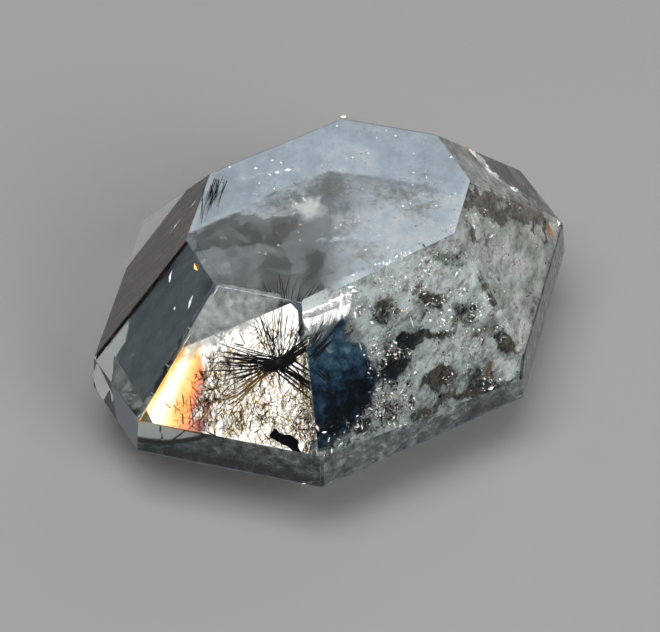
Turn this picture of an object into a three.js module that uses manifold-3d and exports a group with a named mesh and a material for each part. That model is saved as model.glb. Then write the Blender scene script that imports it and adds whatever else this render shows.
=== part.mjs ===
// Hollandite quartz: a clear rock crystal cut with eight sides, and a star of black needles sealed inside it.
// Millimetres and degrees, +Z up. The origin is at the middle of the flat base that the stone rests on.

import * as THREE from 'three';
import { mergeVertices } from 'three/addons/utils/BufferGeometryUtils.js';
import Module from 'manifold-3d';

const wasm = await Module();
wasm.setup();

// Heights, from the base up
const pavilionHeight = 1.7;
const girdleHeight = 1.04;
const crownHeight = 3.0;
const girdleFoot = pavilionHeight;
const girdleTop = girdleFoot + girdleHeight;
const tableTop = girdleTop + crownHeight;

// The eight sides of the cut, each with its crown, girdle and pavilion facet.
// facing is the side's compass angle, slope is measured from the level, and reach from the stone's axis:
// for crown and girdle at the girdle's upper edge. A pavilion facet starts at the girdle's foot.
const sides = [
  {
    name: 'front left',
    crown: { facing: -105.5, slope: 54, reach: 5.59 },
    girdle: { facing: -105.5, slope: 86, reach: 5.62 },
    pavilionSlope: 36.5,
  },
  {
    name: 'front right',
    crown: { facing: -55.5, slope: 54, reach: 4.52 },
    girdle: { facing: -58, slope: 86, reach: 4.72 },
    pavilionSlope: 32.5,
  },
  {
    name: 'right',
    crown: { facing: -12, slope: 55.5, reach: 5.16 },
    girdle: { facing: -12.5, slope: 86.5, reach: 5.19 },
    pavilionSlope: 45.5,
  },
  {
    name: 'back right',
    crown: { facing: 26.5, slope: 46.5, reach: 6.38 },
    girdle: { facing: 30, slope: 86.5, reach: 6.41 },
    pavilionSlope: 39.5,
  },
  {
    name: 'back',
    crown: { facing: 76, slope: 53, reach: 5.54 },
    girdle: { facing: 76, slope: 86, reach: 5.56 },
    pavilionSlope: 52,
  },
  {
    name: 'back left',
    crown: { facing: 121, slope: 54.5, reach: 4.87 },
    girdle: { facing: 121, slope: 86, reach: 5.02 },
    pavilionSlope: 49,
  },
  {
    name: 'left',
    crown: { facing: 166.5, slope: 56.5, reach: 5.29 },
    girdle: { facing: 167, slope: 89.5, reach: 5.41 },
    pavilionSlope: 55,
  },
  {
    name: 'left front',
    crown: { facing: -155, slope: 50, reach: 6.27 },
    girdle: { facing: -153, slope: 85.5, reach: 6.36 },
    pavilionSlope: 50.5,
  },
];

// The star of needles: its long core, then the sprays that leave it. facing and rise give the heading
// of the core and of each spray's middle, and spread is the half angle of the spray's cone.
const starCentre = new THREE.Vector3(-1.14, -2.83, girdleTop + 0.5);
const core = {
  shift: new THREE.Vector3(-0.1, -0.02, -0.02),
  halfLength: 0.5,
  radius: 0.17,
  facing: 13,
  rise: 14,
};
const needleSides = 4;
const needleRadius = 0.05;
const sprays = [
  { facing: 176, rise: 4, spread: 11, needles: 6, length: 1.9 },
  { facing: -166, rise: -15, spread: 9, needles: 3, length: 1.6 },
  { facing: 123, rise: 41, spread: 9, needles: 3, length: 1.9 },
  { facing: 95, rise: 47, spread: 17, needles: 6, length: 1.9 },
  { facing: 52, rise: 41, spread: 9, needles: 3, length: 1.75 },
  { facing: 23, rise: 24, spread: 8, needles: 4, length: 1.95 },
  { facing: -24, rise: -24, spread: 8, needles: 4, length: 1.6 },
  { facing: -90, rise: -46, spread: 40, needles: 4, length: 0.8 },
  { facing: -151, rise: -28, spread: 8, needles: 4, length: 1.85 },
];
const goldenAngle = THREE.MathUtils.degToRad(137.5);

// The quartz is parted level with the star's centre, around a pocket that fits the star closely.
// tipClearance is how much of the widening goes into a needle's length, so that its slim tip stays clear.
const partingHeight = starCentre.z;
const partingGap = 0.02;
const pocketClearance = 0.02;
const tipClearance = 0.25;

// A rough block, larger than the finished stone on every side
const roughSize = 30;

const colours = { quartz: 0xc9cfce, hollandite: 0x0c0a0b };

function toSolid(geometry) {
  const bare = geometry.clone();
  bare.deleteAttribute('normal');
  bare.deleteAttribute('uv');
  const merged = mergeVertices(bare, 1e-6);
  return new wasm.Manifold(new wasm.Mesh({
    numProp: 3,
    vertProperties: new Float32Array(merged.attributes.position.array),
    triVerts: new Uint32Array(merged.index.array),
  }));
}

function toGeometry(solid) {
  const mesh = solid.getMesh();
  const geometry = new THREE.BufferGeometry();
  geometry.setAttribute('position', new THREE.BufferAttribute(new Float32Array(mesh.vertProperties), 3));
  geometry.setIndex(new THREE.BufferAttribute(new Uint32Array(mesh.triVerts), 1));
  geometry.computeVertexNormals();
  return geometry;
}

function direction(facing, rise) {
  const turn = THREE.MathUtils.degToRad(facing);
  const lift = THREE.MathUtils.degToRad(rise);
  return new THREE.Vector3(Math.cos(lift) * Math.cos(turn), Math.cos(lift) * Math.sin(turn), Math.sin(lift));
}

// Grinds away everything outside a plane through point, with the given outward normal.
function grind(stone, normal, point) {
  const waste = new THREE.BoxGeometry(roughSize * 2, roughSize * 2, roughSize * 2);
  const turn = new THREE.Quaternion().setFromUnitVectors(new THREE.Vector3(0, 0, 1), normal);
  waste.applyQuaternion(turn);
  const middle = point.clone().addScaledVector(normal, roughSize);
  waste.translate(middle.x, middle.y, middle.z);
  return stone.subtract(toSolid(waste));
}

// A facet of this slope leans back by 90 - slope degrees, so its normal rises by that much.
function grindFacet(stone, facet, height) {
  const outward = direction(facet.facing, 0);
  const point = outward.clone().multiplyScalar(facet.reach).setZ(height);
  return grind(stone, direction(facet.facing, 90 - facet.slope), point);
}

function cutStone() {
  const up = new THREE.Vector3(0, 0, 1);
  const down = new THREE.Vector3(0, 0, -1);
  let stone = toSolid(new THREE.BoxGeometry(roughSize, roughSize, roughSize));
  stone = grind(stone, up, new THREE.Vector3(0, 0, tableTop));
  stone = grind(stone, down, new THREE.Vector3(0, 0, 0));
  for (const side of sides) {
    const lean = girdleHeight / Math.tan(THREE.MathUtils.degToRad(side.girdle.slope));
    const pavilion = {
      facing: side.girdle.facing,
      slope: 180 - side.pavilionSlope,
      reach: side.girdle.reach + lean,
    };
    stone = grindFacet(stone, side.crown, girdleTop);
    stone = grindFacet(stone, side.girdle, girdleTop);
    stone = grindFacet(stone, pavilion, girdleFoot);
  }
  return stone;
}

// One needle: a slim spike from the star's centre, with square corners and a pointed tip.
function needle(heading, length, radius) {
  const spike = new THREE.ConeGeometry(radius, length, needleSides);
  spike.translate(0, length / 2, 0);
  spike.applyQuaternion(new THREE.Quaternion().setFromUnitVectors(new THREE.Vector3(0, 1, 0), heading));
  spike.translate(starCentre.x, starCentre.y, starCentre.z);
  return toSolid(spike);
}

// The headings of a spray, wound out from its middle by the golden angle so that they lie evenly.
function headings(spray) {
  const middle = direction(spray.facing, spray.rise);
  const turn = new THREE.Quaternion().setFromUnitVectors(new THREE.Vector3(0, 0, 1), middle);
  const found = [];
  for (let i = 0; i < spray.needles; i += 1) {
    const away = THREE.MathUtils.degToRad(spray.spread * Math.sqrt((i + 0.5) / spray.needles));
    const around = i * goldenAngle;
    const heading = new THREE.Vector3(
      Math.sin(away) * Math.cos(around),
      Math.sin(away) * Math.sin(around),
      Math.cos(away),
    );
    found.push(heading.applyQuaternion(turn));
  }
  return found;
}

// The star, made larger all round by extra
function growStar(extra) {
  const middle = starCentre.clone().add(core.shift);
  const heading = direction(core.facing, core.rise);
  const turn = new THREE.Quaternion().setFromUnitVectors(new THREE.Vector3(1, 0, 0), heading);
  const lump = new THREE.IcosahedronGeometry(1, 1);
  lump.scale(core.halfLength + extra, core.radius + extra, core.radius + extra);
  lump.applyQuaternion(turn);
  lump.translate(middle.x, middle.y, middle.z);
  let star = toSolid(lump);
  for (const spray of sprays) {
    for (const heading of headings(spray)) {
      const reach = spray.length * (1 + (extra / needleRadius) * tipClearance);
      star = star.add(needle(heading, reach, needleRadius + extra));
    }
  }
  return star;
}

// The largest of the bodies that a cut leaves
function largestBody(solid) {
  const bodies = solid.decompose();
  bodies.sort((a, b) => b.volume() - a.volume());
  return bodies[0];
}

function addPiece(group, name, solid, finish) {
  const material = new THREE.MeshStandardMaterial(finish);
  const piece = new THREE.Mesh(toGeometry(solid), material);
  piece.name = name;
  group.add(piece);
}

function buildStone() {
  const group = new THREE.Group();
  const hollowed = cutStone().subtract(growStar(pocketClearance));
  const up = new THREE.Vector3(0, 0, 1);
  const down = new THREE.Vector3(0, 0, -1);
  const lower = grind(hollowed, up, new THREE.Vector3(0, 0, partingHeight - partingGap / 2));
  const upper = grind(hollowed, down, new THREE.Vector3(0, 0, partingHeight + partingGap / 2));
  const quartz = { color: colours.quartz, roughness: 0.05, metalness: 0, flatShading: true };
  const hollandite = { color: colours.hollandite, roughness: 0.35, metalness: 0.2, flatShading: true };
  addPiece(group, 'quartz_base', largestBody(lower), quartz);
  addPiece(group, 'quartz_crown', largestBody(upper), quartz);
  addPiece(group, 'hollandite_star', growStar(0), hollandite);
  return group;
}

export default buildStone();
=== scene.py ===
# Hollandite quartz: a clear rock crystal cut with eight sides, with a star of black needles sealed inside it.
# Shapes are worked in millimetres and degrees, and turned to metres when a piece is finished.

import math

import bpy
import numpy as np
from mathutils import Matrix, Vector, noise


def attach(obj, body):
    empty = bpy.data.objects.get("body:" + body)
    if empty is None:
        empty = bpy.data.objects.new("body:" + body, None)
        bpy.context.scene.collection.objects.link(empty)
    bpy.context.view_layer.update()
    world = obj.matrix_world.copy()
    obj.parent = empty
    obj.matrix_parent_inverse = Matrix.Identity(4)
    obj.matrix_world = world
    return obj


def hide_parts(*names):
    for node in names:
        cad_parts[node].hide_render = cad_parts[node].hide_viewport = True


mm = 0.001  # one millimetre in metres
girdleTop = 2.74  # the height at which the facets' places start from the stone's axis
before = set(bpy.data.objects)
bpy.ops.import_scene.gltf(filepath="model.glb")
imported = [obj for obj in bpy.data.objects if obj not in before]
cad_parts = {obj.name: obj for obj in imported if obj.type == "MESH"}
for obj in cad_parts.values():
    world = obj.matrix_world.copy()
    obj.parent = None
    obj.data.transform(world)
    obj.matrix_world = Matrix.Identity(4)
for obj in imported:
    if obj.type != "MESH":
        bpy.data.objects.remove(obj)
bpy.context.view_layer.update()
print("frame loaded")


# Small tools

def srgb(code):
    parts = [int(code[i:i + 2], 16) / 255 for i in (0, 2, 4)]
    linear = [p / 12.92 if p <= 0.04045 else ((p + 0.055) / 1.055) ** 2.4 for p in parts]
    return (*linear, 1)


def addNode(tree, kind, inputs=None, stops=None, **settings):
    # inputs are plain values or other nodes' outputs, and stops are a ramp's (place, colour)
    node = tree.nodes.new(kind)
    for name, value in settings.items():
        setattr(node, name, value)
    for name, value in (inputs or {}).items():
        if isinstance(value, bpy.types.NodeSocket):
            tree.links.new(value, node.inputs[name])
        else:
            node.inputs[name].default_value = value
    if stops:
        ramp = node.color_ramp
        while len(ramp.elements) < len(stops):
            ramp.elements.new(0.5)
        for element, (place, code) in zip(ramp.elements, stops):
            element.position = place
            element.color = srgb(code)
    return node


def newMaterial(name, values):
    material = bpy.data.materials.new(name)
    material.use_nodes = True
    shader = material.node_tree.nodes["Principled BSDF"]
    for socket, value in values.items():
        shader.inputs[socket].default_value = value
    return material, material.node_tree, shader


def readAttribute(tree, name, output="Fac"):
    return addNode(tree, "ShaderNodeAttribute", attribute_name=name).outputs[output]


def tintedMaterial(name, stops, values):
    # a plain material whose colour follows each small copy's tint
    material, tree, shader = newMaterial(name, values)
    ramp = addNode(tree, "ShaderNodeValToRGB", {"Fac": readAttribute(tree, "tint")}, stops)
    tree.links.new(ramp.outputs["Color"], shader.inputs["Base Color"])
    return material


def editing(begins):
    bpy.ops.object.mode_set(mode="EDIT" if begins else "OBJECT")


def deselectAll():
    if bpy.context.object and bpy.context.object.mode != "OBJECT":
        editing(False)
    bpy.ops.object.select_all(action="DESELECT")


def selectOnly(piece):
    deselectAll()
    piece.select_set(True)
    bpy.context.view_layer.objects.active = piece


def cutAway(normal, point, fill=False):
    # in edit mode, takes off all that lies outside a plane through the point
    bpy.ops.mesh.select_all(action="SELECT")
    bpy.ops.mesh.bisect(plane_co=point, plane_no=normal, use_fill=fill, clear_outer=True, threshold=0.0001)


def closeUp(gap):
    # in edit mode, joins corners that lie closer than the gap and turns every face outwards
    bpy.ops.mesh.select_all(action="SELECT")
    bpy.ops.mesh.remove_doubles(threshold=gap)
    bpy.ops.mesh.normals_make_consistent(inside=False)


def compass(facing, rise):
    turn, lift = math.radians(facing), math.radians(rise)
    return Vector((math.cos(lift) * math.cos(turn), math.cos(lift) * math.sin(turn), math.sin(lift)))


def finishPiece(piece, name, materials):
    piece.name = name
    piece.data.name = name
    piece.data.transform(Matrix.Scale(mm, 4))
    piece.data.materials.clear()
    for material in materials:
        piece.data.materials.append(material)
    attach(piece, "root")


# Camera: the photograph looks down at 45 degrees, from so far off that it shows almost no perspective
viewing = {
    "facing": -90,
    "rise": 45,
    "target": Vector((-0.089, -0.3975, 2.3425)),
    "widthShown": 16.79,
    "lens": 400,
    "sensor": 36,
    "nearest": 1,
}


def makeCamera():
    camera = bpy.data.objects.new("camera", bpy.data.cameras.new("camera"))
    bpy.context.collection.objects.link(camera)
    camera.data.lens = viewing["lens"]
    camera.data.sensor_width = viewing["sensor"]
    camera.data.clip_start = viewing["nearest"] * mm
    distance = viewing["widthShown"] * viewing["lens"] / viewing["sensor"]
    target = viewing["target"] * mm
    camera.location = target + compass(viewing["facing"], viewing["rise"]) * distance * mm
    camera.rotation_euler = (target - camera.location).to_track_quat("-Z", "Y").to_euler()
    bpy.context.scene.camera = camera


# Studio: a plain pale floor, a dim grey room and large soft lights
studio = {
    "floorSize": 1600,
    "floorGap": 0.03,  # the finest gap, so that light reaches under the base
    "floorColour": "828282",
    "floorRoughness": 0.7,
    "roomColour": "d0dcec",
    "roomStrength": 0.13,
    "lights": {
        # behind at the right, where it shows through the front left facet
        "window": {"from": (55, 37), "distance": 400, "size": (290, 140), "power": 0.22,
                   "colour": "fffaf2"},
        # wide and almost straight above, where it reaches the floor through the table
        "overhead": {"from": (-120, 76), "distance": 450, "size": (340, 340), "power": 2.4,
                     "colour": "fffefb"},
        # at the front right, for the inclusions behind the front facets
        "front": {"from": (-50, 38), "distance": 450, "size": (220, 220), "power": 1.5,
                  "colour": "fffefb"},
    },
}


def makeStudio():
    deselectAll()
    bpy.ops.mesh.primitive_plane_add(size=studio["floorSize"] * mm, location=(0, 0, -studio["floorGap"] * mm))
    floor = bpy.context.object
    floor.name = "floor"
    # painted board: even, pale and matt, so that it gives the facets something plain to reflect
    board = newMaterial("paintedBoard", {"Base Color": srgb(studio["floorColour"]),
                                         "Roughness": studio["floorRoughness"]})[0]
    floor.data.materials.append(board)
    world = bpy.data.worlds.new("room")
    bpy.context.scene.world = world
    world.use_nodes = True
    background = world.node_tree.nodes["Background"]
    background.inputs["Color"].default_value = srgb(studio["roomColour"])
    background.inputs["Strength"].default_value = studio["roomStrength"]
    for name, row in studio["lights"].items():
        light = bpy.data.lights.new(name, "AREA")
        light.shape = "RECTANGLE"
        light.size = row["size"][0] * mm
        light.size_y = row["size"][1] * mm
        light.energy = row["power"]
        light.color = srgb(row["colour"])[:3]
        lamp = bpy.data.objects.new(name, light)
        bpy.context.collection.objects.link(lamp)
        lamp.location = compass(*row["from"]) * row["distance"] * mm
        lamp.rotation_euler = (-lamp.location).to_track_quat("-Z", "Y").to_euler()
    bpy.context.scene.view_settings.view_transform = "Standard"


# Quartz: one block cut along the facets of the frame's two halves, with finely worn facet edges
quartz = {
    "block": 30,
    "leastFacet": 0.01,  # in square millimetres
    "leastReach": 0.005,  # how far an outer face may lie inside the stone's outline
    "sameFacing": 0.9995,  # the cosine above which two faces belong to one facet
    "edgeWear": 0.01,
    "ior": 1.544,
    "absorption": "e9eeee",
    "density": 60,  # per metre, for the faint grey of 12 mm of crystal
    # polished rock crystal is colourless, with sharp reflections and a clear depth, and its worn edges are
    # fine enough to scratch the reflections into a soft light line
    "finishes": {"polishedRockCrystal": 0, "wornFacetEdge": 0.12},
}


def readFacets():
    # the flat outer faces of the two halves, as outward normals and distances from the origin
    corners, faces = [], []
    for name in ("quartz_base", "quartz_crown"):
        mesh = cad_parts[name].data
        points = np.array([vertex.co for vertex in mesh.vertices]) / mm
        corners.append(points)
        for face in mesh.polygons:
            faces.append((face.area, np.array(face.normal), points[face.vertices[0]]))
    corners = np.concatenate(corners)
    found = []
    for area, normal, point in sorted(faces, key=lambda face: -face[0]):
        reach = (corners @ normal).max()
        outer = area > quartz["leastFacet"] * mm ** 2 and normal @ point > reach - quartz["leastReach"]
        if outer and all(normal @ other[0] < quartz["sameFacing"] for other in found):
            found.append((Vector(normal), reach))
    return found


def makeQuartz():
    deselectAll()
    bpy.ops.mesh.primitive_cube_add(size=quartz["block"])
    block = bpy.context.object
    editing(True)
    for normal, offset in facets:
        cutAway(normal, normal * offset, fill=True)
    closeUp(0.002)
    bpy.ops.mesh.bevel(offset=quartz["edgeWear"], segments=1, material=1, affect="EDGES")
    editing(False)
    print("quartz:", len(facets), "facets")
    return block


def quartzMaterials():
    found = []
    for name, roughness in quartz["finishes"].items():
        material, tree = newMaterial(name, {"Base Color": (1, 1, 1, 1), "Transmission Weight": 1,
                                            "IOR": quartz["ior"], "Roughness": roughness})[:2]
        absorption = addNode(tree, "ShaderNodeVolumeAbsorption", {"Color": srgb(quartz["absorption"]),
                                                                  "Density": quartz["density"]})
        tree.links.new(absorption.outputs[0], tree.nodes["Material Output"].inputs["Volume"])
        found.append(material)
    return found


# Places inside the stone: each facet gives a level line, a line up its slope and an inward depth.
# The facets that matter here are named, each with the compass angle that it faces and its slope.
facetAngles = {
    "table": (-90, 0),
    "frontLeft": (-105.5, 54),
    "frontRight": (-55.5, 54),
    "right": (-12, 55.5),
    "backRight": (26.5, 46.5),
    "left": (166.5, 56.5),
    "leftFront": (-155, 50),
    "frontLeftBand": (-105.5, 86),
    "frontRightBand": (-58, 86),
    "rightBand": (-12.5, 86.5),
}


def facetFrame(name):
    facing, slope = facetAngles[name]
    aim = compass(facing, 90 - slope)
    normal, offset = max(facets, key=lambda facet: facet[0].dot(aim))
    level = Vector((-math.sin(math.radians(facing)), math.cos(math.radians(facing)), 0))
    level = (level - normal * level.dot(normal)).normalized()
    axis = Vector((0, 0, girdleTop))
    return {
        "origin": np.array(axis + normal * (offset - normal.dot(axis))),
        "level": np.array(level),
        "up": np.array(normal.cross(level)),
        "normal": np.array(normal),
    }


def onFacet(where, across, rise, depth):
    across, rise, depth = (np.asarray(value, float)[..., None] for value in (across, rise, depth))
    return where["origin"] + where["level"] * across + where["up"] * rise - where["normal"] * depth


def facetPlace(where, points):
    away = points - where["origin"]
    return away @ where["level"], away @ where["up"]


def depthInside(points):
    # how deep each point lies under the nearest facet
    normals = np.array([facet[0] for facet in facets])
    offsets = np.array([facet[1] for facet in facets])
    return (offsets - points @ normals.T).min(axis=1)


def mottle(points, grain, shift=0):
    # a cloudy pattern from about -1 to 1, with lumps of the grain's size, and another one for each shift
    moved = Vector((shift, 0, 0))
    return np.array([noise.fractal(Vector(point) / grain + moved, 1.0, 2.0, 3) for point in points])


def bend(ray, normal):
    # the way a ray goes on inside, after it enters through a facet
    facing = -ray @ normal
    inner = 1 / quartz["ior"]
    return inner * ray + (inner * facing - math.sqrt(1 - inner ** 2 * (1 - facing ** 2))) * normal


def sightLine(where):
    # the way the camera looks on inside, behind this facet
    return bend(np.array(-compass(viewing["facing"], viewing["rise"])), where["normal"])


def entryPoint(where, points):
    # where the camera's ray to each point would come in through this facet
    ray = sightLine(where)
    depth = (where["origin"] - points) @ where["normal"]
    return points - ray * (depth / -(ray @ where["normal"]))[:, None]


def seenThrough(where, points):
    # whether the camera sees each point through this facet, or less than 0.02 mm past its edge
    return depthInside(entryPoint(where, points)) > -0.02


def unit(vectors):
    return vectors / np.linalg.norm(vectors, axis=-1, keepdims=True)


# Small copies: needles and grains by the hundred, joined to one piece
def copyMany(model, places, headings, widths, thicknesses, lengths, tints, rng, alongs=None):
    # one copy of the model for each place, its z axis along the heading and its x axis along alongs
    source = model.data
    source.calc_loop_triangles()
    corners = np.array([vertex.co for vertex in source.vertices])
    faces = np.array([triangle.vertices for triangle in source.loop_triangles])
    headings = unit(headings)
    alongs = rng.normal(size=headings.shape) if alongs is None else alongs
    thirds = unit(np.cross(headings, alongs))
    sides = np.cross(thirds, headings)
    spots = (places[:, None, :]
             + corners[None, :, 0:1] * sides[:, None, :] * widths[:, None, None]
             + corners[None, :, 1:2] * thirds[:, None, :] * thicknesses[:, None, None]
             + corners[None, :, 2:3] * headings[:, None, :] * lengths[:, None, None])
    shifts = np.arange(len(places))[:, None, None] * len(corners)
    mesh = bpy.data.meshes.new(model.name)
    mesh.from_pydata(spots.reshape(-1, 3).tolist(), [], (faces[None] + shifts).reshape(-1, 3).tolist())
    tint = mesh.attributes.new("tint", "FLOAT", "POINT")
    tint.data.foreach_set("value", np.repeat(tints, len(corners)).astype(np.float32))
    joined = bpy.data.objects.new(model.name, mesh)
    bpy.context.collection.objects.link(joined)
    bpy.data.objects.remove(model)
    return joined


needleModel = {"sides": 5, "shank": 0.7, "point": 0.3, "pointWidth": 0.15}


def makeNeedleModel():
    # a five-sided prism of unit width and length, drawn out to a point at its far end
    deselectAll()
    bpy.ops.mesh.primitive_cylinder_add(vertices=needleModel["sides"], radius=0.5, depth=needleModel["shank"],
                                        location=(0, 0, needleModel["shank"] / 2))
    model = bpy.context.object
    bpy.ops.object.transform_apply(location=True)
    editing(True)
    bpy.ops.mesh.select_all(action="DESELECT")
    editing(False)
    for face in model.data.polygons:
        face.select = face.normal.z > 0.9
    editing(True)
    bpy.ops.mesh.extrude_region_move(TRANSFORM_OT_translate={"value": (0, 0, needleModel["point"])})
    bpy.ops.transform.resize(value=(needleModel["pointWidth"], needleModel["pointWidth"], 1))
    editing(False)
    return model


def makeGrainModel():
    # the smallest closed crystal: an eight-faced grain of unit radius
    deselectAll()
    bpy.ops.mesh.primitive_uv_sphere_add(segments=4, ring_count=2, radius=1)
    model = bpy.context.object
    editing(True)
    closeUp(0.001)
    editing(False)
    return model


# Hollandite star: sprays of straight black needles from one small core
needleStar = {
    "seed": 4,
    "centre": (-1.14, -2.83, 3.24),
    "core": {"shift": (-0.1, -0.02, -0.02), "radii": (0.5, 0.15, 0.15), "facing": 13, "rise": 14,
             "lumps": 0.04, "lumpsPerMm": 8},
    "width": 0.042,
    "goldenAngle": 137.5,  # winds a spray's needles so that they lie evenly
    "lengthShare": (0.6, 1.0),
    "widthShare": (0.6, 1.1),
    "rootSpread": (0.16, 0.03),  # along the core and to every side
    "tintSpread": 0.05,
    # each spray's facing, rise, spread, number of needles, length and thickness, and its tint, from 0, black,
    # to 1, gold brown where light comes through
    "sprays": [
        (176, 4, 14, 17, 1.9, 0.95, 0.2),
        (-166, -15, 9, 9, 1.6, 0.8, 0.6),
        (123, 41, 9, 6, 1.9, 0.6, 0.7),
        (95, 47, 19, 17, 1.9, 0.55, 0.5),
        (52, 41, 9, 6, 1.75, 0.6, 0.5),
        (23, 24, 8, 12, 1.95, 1.3, 0.2),
        (-24, -24, 8, 10, 1.6, 1.3, 0.2),
        (-90, -46, 40, 12, 0.8, 0.6, 0.6),
        (-151, -28, 8, 10, 1.85, 0.7, 0.95),
    ],
}


def makeNeedleStar():
    rng = np.random.default_rng(needleStar["seed"])
    shape = needleStar["core"]
    centre, shift = Vector(needleStar["centre"]), Vector(shape["shift"])
    along = compass(shape["facing"], shape["rise"])
    headings, lengths, widths, tints = [], [], [], []
    for facing, rise, spread, total, length, thickness, tint in needleStar["sprays"]:
        turn = Vector((0, 0, 1)).rotation_difference(compass(facing, rise))
        for i in range(total):
            away = math.radians(spread * math.sqrt((i + 0.5) / total))
            around = i * math.radians(needleStar["goldenAngle"])
            sideways = math.sin(away)
            local = Vector((sideways * math.cos(around), sideways * math.sin(around), math.cos(away)))
            headings.append(turn @ local)
            lengths.append(length * rng.uniform(*needleStar["lengthShare"]))
            widths.append(needleStar["width"] * thickness * rng.uniform(*needleStar["widthShare"]))
            tints.append(tint + rng.uniform(-needleStar["tintSpread"], needleStar["tintSpread"]))
    count = len(headings)
    lengthways, sideways = needleStar["rootSpread"]
    roots = np.array(needleStar["centre"]) + shape["shift"]
    roots = roots + np.array(along) * rng.normal(0, lengthways, (count, 1))
    roots = roots + rng.normal(0, sideways, (count, 3))
    widths = np.array(widths)
    needles = copyMany(makeNeedleModel(), roots, np.array(headings), widths, widths, np.array(lengths),
                       np.array(tints), rng)
    deselectAll()
    bpy.ops.mesh.primitive_ico_sphere_add(subdivisions=3, radius=1)
    core = bpy.context.object
    core.data.transform(Matrix.Diagonal((*shape["radii"], 1)))
    core.data.transform(Vector((1, 0, 0)).rotation_difference(along).to_matrix().to_4x4())
    core.data.transform(Matrix.Translation(centre + shift))
    for vertex in core.data.vertices:
        vertex.co += vertex.normal * shape["lumps"] * noise.noise(vertex.co * shape["lumpsPerMm"])
    selectOnly(needles)
    core.select_set(True)
    bpy.ops.object.join()
    print("star:", count, "needles")
    return needles


# Sheets: thin curved films, most of them along healed cracks and some of them painted light or shade, trimmed
# a little inside the stone
sheets = {
    "thickness": 0.01,
    "waveLength": 1.6,
    "margin": 0.05,  # the least depth under every facet
    "depthShare": 0.2,  # how much depth counts in the materials' patterns
    "softEdge": 1.3,  # spots and lines fade over one radius or half width, out to this many
}


def trim(sheet, planes):
    selectOnly(sheet)
    editing(True)
    for normal, offset in planes:
        cutAway(normal, normal * (offset / normal.length_squared))
    editing(False)


def viewPlanes(where):
    # the planes through a facet's edges, along the bent ray, that hold what the photograph shows through it
    ray = sightLine(where)
    own = where["origin"] @ where["normal"]
    planes = []
    for normal, offset in facets:
        normal = np.array(normal)
        share = (ray @ normal) / (ray @ where["normal"])
        if abs(normal @ where["normal"]) < quartz["sameFacing"]:
            planes.append((Vector(normal - share * where["normal"]), offset - share * own))
    return planes


def makeSheet(where, row):
    deselectAll()
    bpy.ops.mesh.primitive_grid_add(x_subdivisions=row["cells"][0], y_subdivisions=row["cells"][1], size=1)
    sheet = bpy.context.object
    corners = np.array([vertex.co for vertex in sheet.data.vertices]) + 0.5
    across, rise = row["across"], row["up"]
    points = onFacet(where, across[0] + corners[:, 0] * (across[1] - across[0]),
                     rise[0] + corners[:, 1] * (rise[1] - rise[0]), row["depth"])
    points = points - where["normal"] * (row["wave"] * mottle(points, sheets["waveLength"]))[:, None]
    for vertex, point in zip(sheet.data.vertices, points):
        vertex.co = point
    margin = row.get("margin", sheets["margin"])
    trim(sheet, [(normal, offset - margin) for normal, offset in facets])
    trim(sheet, viewPlanes(where))
    selectOnly(sheet)
    modifier = sheet.modifiers.new("thickness", "SOLIDIFY")
    modifier.thickness = sheets["thickness"]
    modifier.offset = 0
    bpy.ops.object.modifier_apply(modifier=modifier.name)
    return sheet


def meshPoints(piece):
    return np.array([vertex.co for vertex in piece.data.vertices])


def setAttribute(piece, name, values):
    attribute = piece.data.attributes.new(name, "FLOAT", "POINT")
    attribute.data.foreach_set("value", np.asarray(values, np.float32))


def placeAttribute(piece, where, turn=0):
    # the place on the facet in millimetres, turned to lie along the pattern's streaks, for the materials
    points = meshPoints(piece)
    across, rise = facetPlace(where, points)
    away = (where["origin"] - points) @ where["normal"]
    attribute = piece.data.attributes.new("place", "FLOAT_VECTOR", "POINT")
    along, aside = math.cos(math.radians(turn)), math.sin(math.radians(turn))
    turned = np.stack([across * along + rise * aside, rise * along - across * aside,
                       away * sheets["depthShare"]], axis=1)
    attribute.data.foreach_set("vector", turned.astype(np.float32).ravel())
    return across, rise


def blobs(across, rise, spots):
    # soft round patches: each is (across, up, radius, strength)
    total = np.zeros(len(across))
    for spot in spots:
        away = np.hypot(across - spot[0], rise - spot[1]) / spot[2]
        total += spot[3] * np.clip(sheets["softEdge"] - away, 0, 1)
    return total


def inOutline(across, rise, softness, corners):
    # 1 inside a convex outline, with a soft edge
    corners = np.array(corners)
    edges = np.roll(corners, -1, axis=0) - corners
    outward = unit(np.stack([edges[:, 1], -edges[:, 0]], axis=1))
    outward *= np.sign(((corners - corners.mean(axis=0)) * outward).sum(axis=1))[:, None]
    spots = np.stack([across, rise], axis=1)
    away = ((spots[:, None] - corners) * outward).sum(axis=2).max(axis=1)
    return np.clip(0.5 - away / softness, 0, 1)


def nearLine(across, rise, halfWidth, points):
    # 1 along a line of points, with a soft edge
    spots = np.stack([across, rise], axis=1)
    nearest = np.full(len(spots), np.inf)
    for start, end in zip(np.array(points[:-1]), np.array(points[1:])):
        along = end - start
        share = np.clip((spots - start) @ along / (along @ along), 0, 1)
        nearest = np.minimum(nearest, np.linalg.norm(spots - start - share[:, None] * along, axis=1))
    return np.clip(sheets["softEdge"] - nearest / halfWidth, 0, 1)


def above(across, rise, line, softness, strength):
    # what lies above a line of (across, up) points
    edge = np.interp(across, [spot[0] for spot in line], [spot[1] for spot in line])
    return strength * np.clip((rise - edge) / softness + 0.5, 0, 1)
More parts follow.
